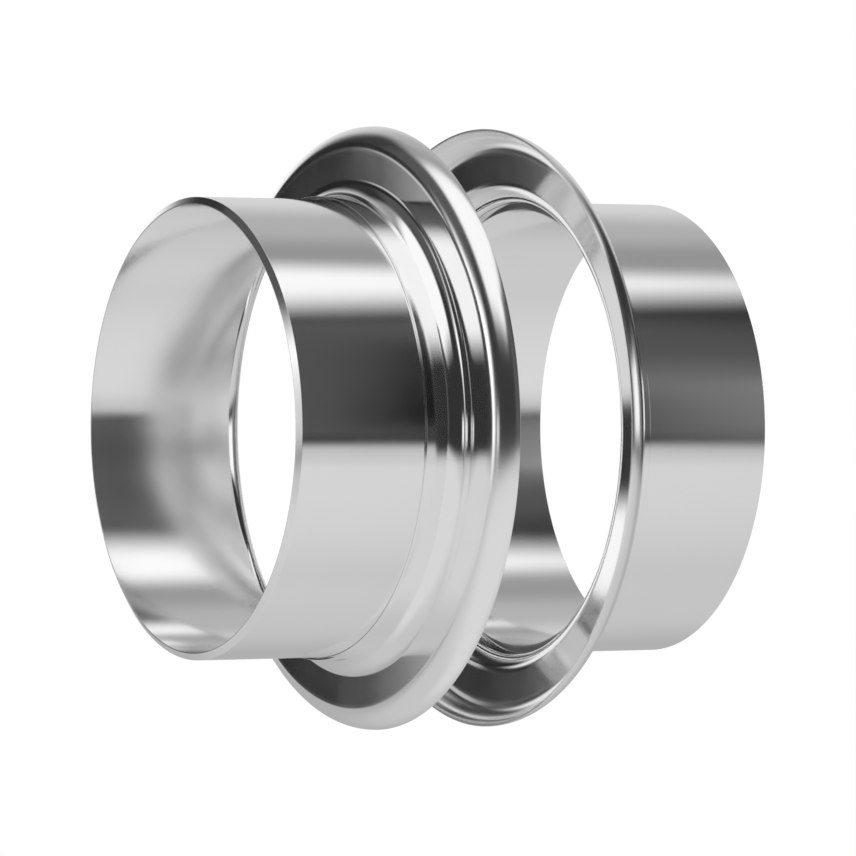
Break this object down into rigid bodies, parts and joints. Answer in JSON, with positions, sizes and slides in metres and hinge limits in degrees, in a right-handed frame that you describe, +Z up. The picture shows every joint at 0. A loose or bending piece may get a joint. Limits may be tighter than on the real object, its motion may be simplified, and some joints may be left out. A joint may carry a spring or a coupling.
{
  "type": "lens expansion joint",
  "caption": "Lens expansion joint for a round duct, as its mirrored halves on one axis: bevelled weld stubs, each carrying a rolled sheet half lens with a flat web and an open rim.",
  "frame": {"origin": "on the duct's axis, in the middle of the gap between the two lens rims", "axes": "+X along the duct from the left half to the right half, +Z up, as the joint lies in a level duct"},
  "size_m": [0.2536, 0.2894, 0.2894],
  "materials": {
    "stub_steel": "polished",
    "lens_steel": "polished"
  },
  "bodies": {
    "root": {"left_pipe_stub": "stub_steel", "left_half_lens": "lens_steel", "right_half_lens": "lens_steel", "right_pipe_stub": "stub_steel"}
  },
  "joints": []
}
